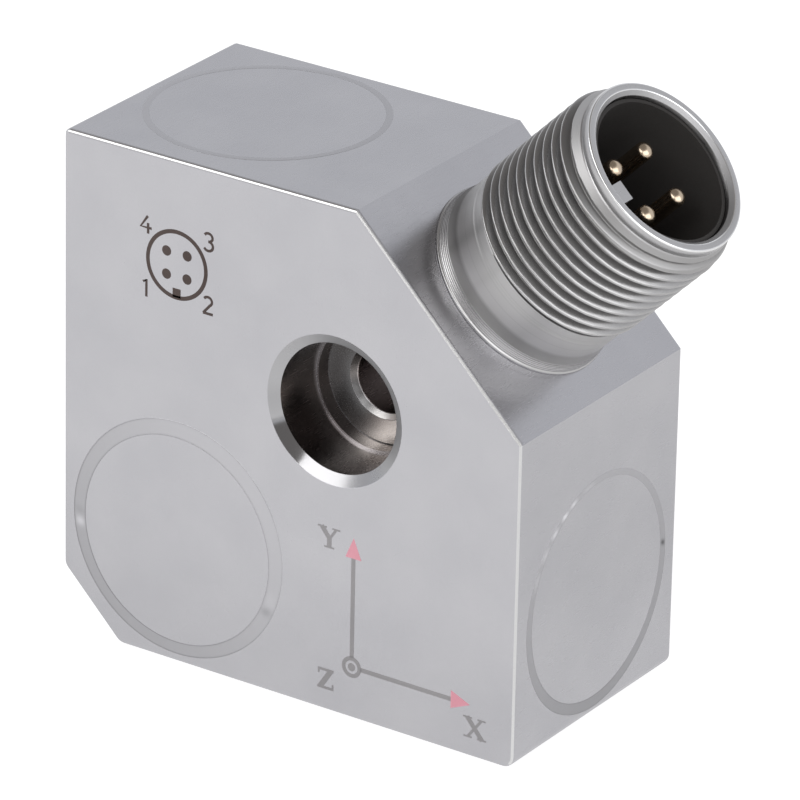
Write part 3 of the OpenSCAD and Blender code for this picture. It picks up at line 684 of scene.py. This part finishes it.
def ribbon(path, widths, lift=0.0, closed=False):
    """A flat strip on the front face: a rectangle of the given width carried along a path of
    (right, up) points in mm from the block's lower left corner, with its top raised by lift.
    Returns its points and its four-cornered faces."""
    path = np.array(path, float)
    widths = np.broadcast_to(np.array(widths, float), (len(path),))
    if closed:
        ahead = np.roll(path, -1, axis=0) - np.roll(path, 1, axis=0)
    else:
        ahead = np.gradient(path, axis=0)
    ahead = ahead / np.linalg.norm(ahead, axis=1, keepdims=True)
    left = np.stack([-ahead[:, 1], ahead[:, 0]], axis=1) * widths[:, None] / 2
    flat = np.stack([path - left, path + left, path + left, path - left], axis=1) * MM
    out = np.array([mark_low, mark_low, mark_high + lift, mark_high + lift])
    points = block_low + flat[..., :1] * axis_x + flat[..., 1:] * axis_z - out[:, None] * axis_y
    faces = grid_faces(len(path), 4, wrap_rows=closed)
    if not closed:
        end_corners = np.arange(4)
        last_row = (len(path) - 1) * 4
        faces = np.concatenate([faces, [end_corners[::-1], last_row + end_corners]])
    return points.reshape(-1, 3), faces


def add_marks(name, ribbons, finish):
    """One piece from several ribbons, whose faces count on from the points before them."""
    points, faces = zip(*ribbons)
    starts = np.cumsum([0, *map(len, points)])
    faces = np.concatenate([quads + start for quads, start in zip(faces, starts)])
    piece = add_piece(name, np.concatenate(points), faces.tolist(), finish)
    piece.data.set_sharp_from_angle(angle=np.radians(30))


def circle(u, v, radius, columns=64):
    """Points of a circle, counterclockwise."""
    angle = np.linspace(0, 2 * np.pi, columns, endpoint=False)
    return np.stack([u + radius * np.cos(angle), v + radius * np.sin(angle)], axis=1)


def dot(u, v, radius):
    """A disc, as a ribbon along its diameter that is as wide as each chord."""
    sweep = np.linspace(dot_start, np.pi - dot_start, dot_rows)
    path = np.stack([u - radius * np.cos(sweep), np.full(dot_rows, v)], axis=1)
    return ribbon(path, 2 * radius * np.sin(sweep))


def sign(u, v, height, strokes):
    """A letter or digit from strokes of (points, width) in its own height, with its middle at (u, v).
    Each stroke lies a little above the one before."""
    return [ribbon(np.array(path) * height + [u, v], width * height, stroke_lift * order)
            for order, (path, width) in enumerate(strokes)]


letter_x = [([(-0.40, 0.48), (0.40, -0.48)], 0.24), ([(0.36, 0.48), (-0.36, -0.48)], 0.13),
            ([(-0.60, 0.46), (-0.14, 0.46)], 0.08), ([(0.14, 0.46), (0.56, 0.46)], 0.08),
            ([(-0.56, -0.46), (-0.14, -0.46)], 0.08), ([(0.14, -0.46), (0.60, -0.46)], 0.08)]
letter_y = [([(-0.40, 0.48), (0.02, -0.04)], 0.24), ([(0.38, 0.48), (0.04, -0.02)], 0.13),
            ([(0.01, 0.0), (0.01, -0.48)], 0.24), ([(-0.60, 0.46), (-0.14, 0.46)], 0.08),
            ([(0.16, 0.46), (0.58, 0.46)], 0.08), ([(-0.25, -0.46), (0.27, -0.46)], 0.08)]
letter_z = [([(0.28, 0.44), (-0.28, -0.44)], 0.26), ([(-0.40, 0.43), (0.42, 0.43)], 0.13),
            ([(-0.42, -0.43), (0.42, -0.43)], 0.13), ([(-0.36, 0.46), (-0.36, 0.22)], 0.09),
            ([(0.38, -0.46), (0.38, -0.20)], 0.09)]
add_marks("axis_marks", [
    ribbon(circle(origin_u, origin_v, origin_ring_r), ring_w, closed=True),
    dot(origin_u, origin_v, origin_dot_r),
    ribbon([(origin_u, origin_v + shaft_start), (origin_u, up_shaft_end)], shaft_w),
    ribbon([(origin_u + shaft_start, origin_v), (right_shaft_end, origin_v)], shaft_w),
    *sign(*y_place, letter_h, letter_y),
    *sign(*z_place, letter_h, letter_z),
    *sign(*x_place, letter_h, letter_x),
], etched_grey)
add_marks("axis_heads", [
    ribbon([(origin_u, up_shaft_end), (origin_u, up_head_end)], [up_head_w, head_tip_w]),
    ribbon([(right_shaft_end, origin_v), (right_head_end, origin_v)], [right_head_w, head_tip_w]),
], painted_pink)

pin_u, pin_v, pin_ring_r, pin_dot_r = 10.6, 33.4, 2.7, 0.42
pin_dots_at, digits_at_u, digits_at_v = 1.35, 4.1, 3.7
notch = 0.75
digit_h, digit_w = 1.5, 0.15
upper_turn = np.linspace(np.radians(150), np.radians(-60), 12)
upper_bow = np.stack([0.26 * np.cos(upper_turn), 0.24 + 0.24 * np.sin(upper_turn)], axis=1)
lower_turn = np.linspace(np.radians(70), np.radians(-150), 12)
lower_bow = np.stack([0.29 * np.cos(lower_turn), -0.22 + 0.26 * np.sin(lower_turn)], axis=1)
digits = [
    [([(-0.16, 0.32), (0.05, 0.48), (0.05, -0.48)], digit_w)],
    [([*upper_bow, (-0.28, -0.44)], digit_w), ([(-0.30, -0.43), (0.32, -0.43)], digit_w)],
    [([*upper_bow[:-2], (0.10, 0.03), (0.0, 0.02)], digit_w), ([(0.0, 0.03), *lower_bow], digit_w)],
    [([(0.12, 0.48), (-0.32, -0.16), (0.36, -0.16)], digit_w), ([(0.14, 0.10), (0.14, -0.48)], digit_w)],
]
pin_marks = [ribbon(circle(pin_u, pin_v, pin_ring_r), ring_w, closed=True),
             ribbon([(pin_u, pin_v - pin_ring_r), (pin_u, pin_v - pin_ring_r + notch)], notch)]
for number, digit in enumerate(digits):
    pin_turn = np.radians(225 + 90 * number)
    right, up = np.cos(pin_turn), np.sin(pin_turn)
    pin_marks.append(dot(pin_u + pin_dots_at * right, pin_v + pin_dots_at * up, pin_dot_r))
    pin_marks += sign(pin_u + digits_at_u * right, pin_v + digits_at_v * up, digit_h, digit)
add_marks("pin_out_mark", pin_marks, etched_brown)


# Studio: a white floor under the block, whose glow in reflections carries a painted shadow near the
# block and dims towards the right, pale walls and a dark ceiling and front above the horizon. A wide
# soft box at the upper left of the front gives the bright lines along the edges and the thread, and
# a weaker one lights the right side.
floor_half, floor_gap = 3.0, 0.02 * MM
floor_z = block_low[2] - floor_gap
far_glow, near_glow, right_glow, seen_glow = 0.615, 0.53, 0.485, 0.8
near_span = (-48 * MM, -24 * MM, far_glow, near_glow)
right_span = (10 * MM, 30 * MM, far_glow, right_glow)
floor_mesh = bpy.data.meshes.new("studio_floor")
floor_mesh.from_pydata(
    [(-floor_half, -floor_half, floor_z), (floor_half, -floor_half, floor_z),
     (floor_half, floor_half, floor_z), (-floor_half, floor_half, floor_z)], [], [(0, 1, 2, 3)])
floor = bpy.data.objects.new("studio_floor", floor_mesh)
bpy.context.scene.collection.objects.link(floor)
floor_paper, paper_shader = start_finish("floor_paper", (0.5, 0.5, 0.5), 0.0, 0.9)
paper_shader.inputs["Specular IOR Level"].default_value = 0.0
paper_shader.inputs["Emission Color"].default_value = (1, 1, 1, 1)
rays = add_node(floor_paper, "ShaderNodeLightPath")
floor_place = add_node(floor_paper, "ShaderNodeTexCoord")
floor_parts = add_node(floor_paper, "ShaderNodeSeparateXYZ")
floor_paper.node_tree.links.new(floor_place.outputs["Object"], floor_parts.inputs["Vector"])
# Painted shadow and dimming: in reflections the floor's glow drops near the block and towards the right.
painted_shadow_near_block = fade(floor_paper, floor_parts.outputs["Y"], *near_span)
painted_dimming_to_the_right = fade(floor_paper, floor_parts.outputs["X"], *right_span)
painted_floor_shade = compute(floor_paper, "MINIMUM", painted_shadow_near_block, painted_dimming_to_the_right)
mirrored = product(floor_paper, rays.outputs["Is Glossy Ray"], painted_floor_shade)
seen = compute(floor_paper, "MAXIMUM", rays.outputs["Is Camera Ray"], rays.outputs["Is Transmission Ray"])
floor_glow = compute(floor_paper, "MAXIMUM", mirrored, product(floor_paper, seen, seen_glow))
floor_paper.node_tree.links.new(floor_glow, paper_shader.inputs["Emission Strength"])
floor_mesh.materials.append(floor_paper)

wall_colour, ceiling_colour = (0.72, 0.731, 0.76), (0.24, 0.23, 0.225)
ceiling_span = (0.56, 0.8, 0.0, 1.0)
front_span, horizon_span = (-0.75, -0.35, 1.0, 0.0), (0.0, 0.06, 0.0, 1.0)
world = bpy.data.worlds.new("studio")
bpy.context.scene.world = world
world.use_nodes = True
surround = world.node_tree.nodes["Background"]
outlook = add_node(world, "ShaderNodeTexCoord")
outlook_parts = add_node(world, "ShaderNodeSeparateXYZ")
world.node_tree.links.new(outlook.outputs["Generated"], outlook_parts.inputs["Vector"])
dark_ceiling = fade(world, outlook_parts.outputs["Z"], *ceiling_span)
dark_front = product(world, fade(world, outlook_parts.outputs["Y"], *front_span),
                     fade(world, outlook_parts.outputs["Z"], *horizon_span))
dark_share = compute(world, "MAXIMUM", dark_ceiling, dark_front)
room = blend_colours(world, dark_share, wall_colour, ceiling_colour)
world.node_tree.links.new(room, surround.inputs["Color"])
surround.inputs["Strength"].default_value = 1.0
box_distance = 0.62


def pose_matrix(right, up, back, place):
    """A placing whose local axes are right, up and back."""
    rows = np.eye(4)
    rows[:3, 0], rows[:3, 1], rows[:3, 2], rows[:3, 3] = right, up, back, place
    return Matrix(rows.tolist())


def soft_box(name, way, width, height, brightness):
    """A soft box that faces the part from one side. Its power is pi * area * brightness, so that a
    mirror of it in the part would show as that brightness."""
    lamp = bpy.data.lights.new(name, "AREA")
    lamp.shape = "RECTANGLE"
    lamp.size, lamp.size_y = width, height
    lamp.energy = np.pi * width * height * brightness
    way = np.array(way) / np.linalg.norm(way)
    right = np.cross(-way, axis_z) / np.linalg.norm(np.cross(-way, axis_z))
    stand = bpy.data.objects.new(name, lamp)
    bpy.context.scene.collection.objects.link(stand)
    stand.matrix_world = pose_matrix(right, np.cross(right, -way), way, box_distance * way)


soft_box("front_box", (-0.2, -0.71, 0.66), width=1.15, height=0.3, brightness=2.1)
soft_box("side_box", (0.9, -0.2, 0.34), width=0.8, height=0.45, brightness=1.4)

azimuth, elevation, roll = np.radians([33.634, 24.398, 1.191])
target = np.array([-0.06, -13.30, -2.37]) * MM
distance, lens = 0.5636, 333.0
level_ahead = np.array([-np.sin(azimuth), np.cos(azimuth), 0])
ahead = np.cos(elevation) * level_ahead - np.sin(elevation) * axis_z
level_right = np.cross(ahead, axis_z) / np.linalg.norm(np.cross(ahead, axis_z))
level_up = np.cross(level_right, ahead)
view_right = np.cos(roll) * level_right + np.sin(roll) * level_up
view_up = np.cos(roll) * level_up - np.sin(roll) * level_right
camera_data = bpy.data.cameras.new("camera")
camera_data.lens = lens
camera_data.sensor_width = 36.0
camera_data.clip_start = 0.01
camera = bpy.data.objects.new("camera", camera_data)
bpy.context.scene.collection.objects.link(camera)
camera.matrix_world = pose_matrix(view_right, view_up, -ahead, target - distance * ahead)
bpy.context.scene.camera = camera
bpy.context.scene.view_settings.view_transform = "Standard"
